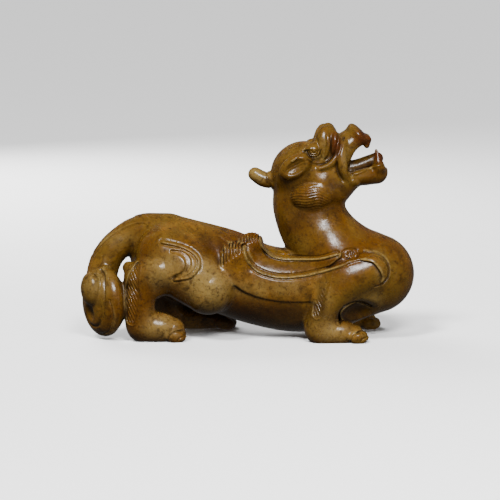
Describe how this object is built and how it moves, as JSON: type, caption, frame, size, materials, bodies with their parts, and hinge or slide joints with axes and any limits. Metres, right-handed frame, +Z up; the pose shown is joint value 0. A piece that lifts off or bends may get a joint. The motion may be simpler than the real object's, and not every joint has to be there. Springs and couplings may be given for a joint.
{
  "type": "carved stone animal figure",
  "caption": "Crouching jade mythical beast with head thrown back, open mouth, winged flanks and a coiled tail; stands on its paws.",
  "frame": {"origin": "on the ground, below the middle of the carving's box", "axes": "+X from the tail to the chest, +Z up, -Y out of the near flank, the one that the coil of the tail lies on"},
  "size_m": [0.1286, 0.045, 0.083],
  "materials": {
    "jade": "wax-polished brown and olive jade, mottled and slightly translucent"
  },
  "bodies": {
    "root": {"jade_mythical_beast": "jade"}
  },
  "joints": []
}
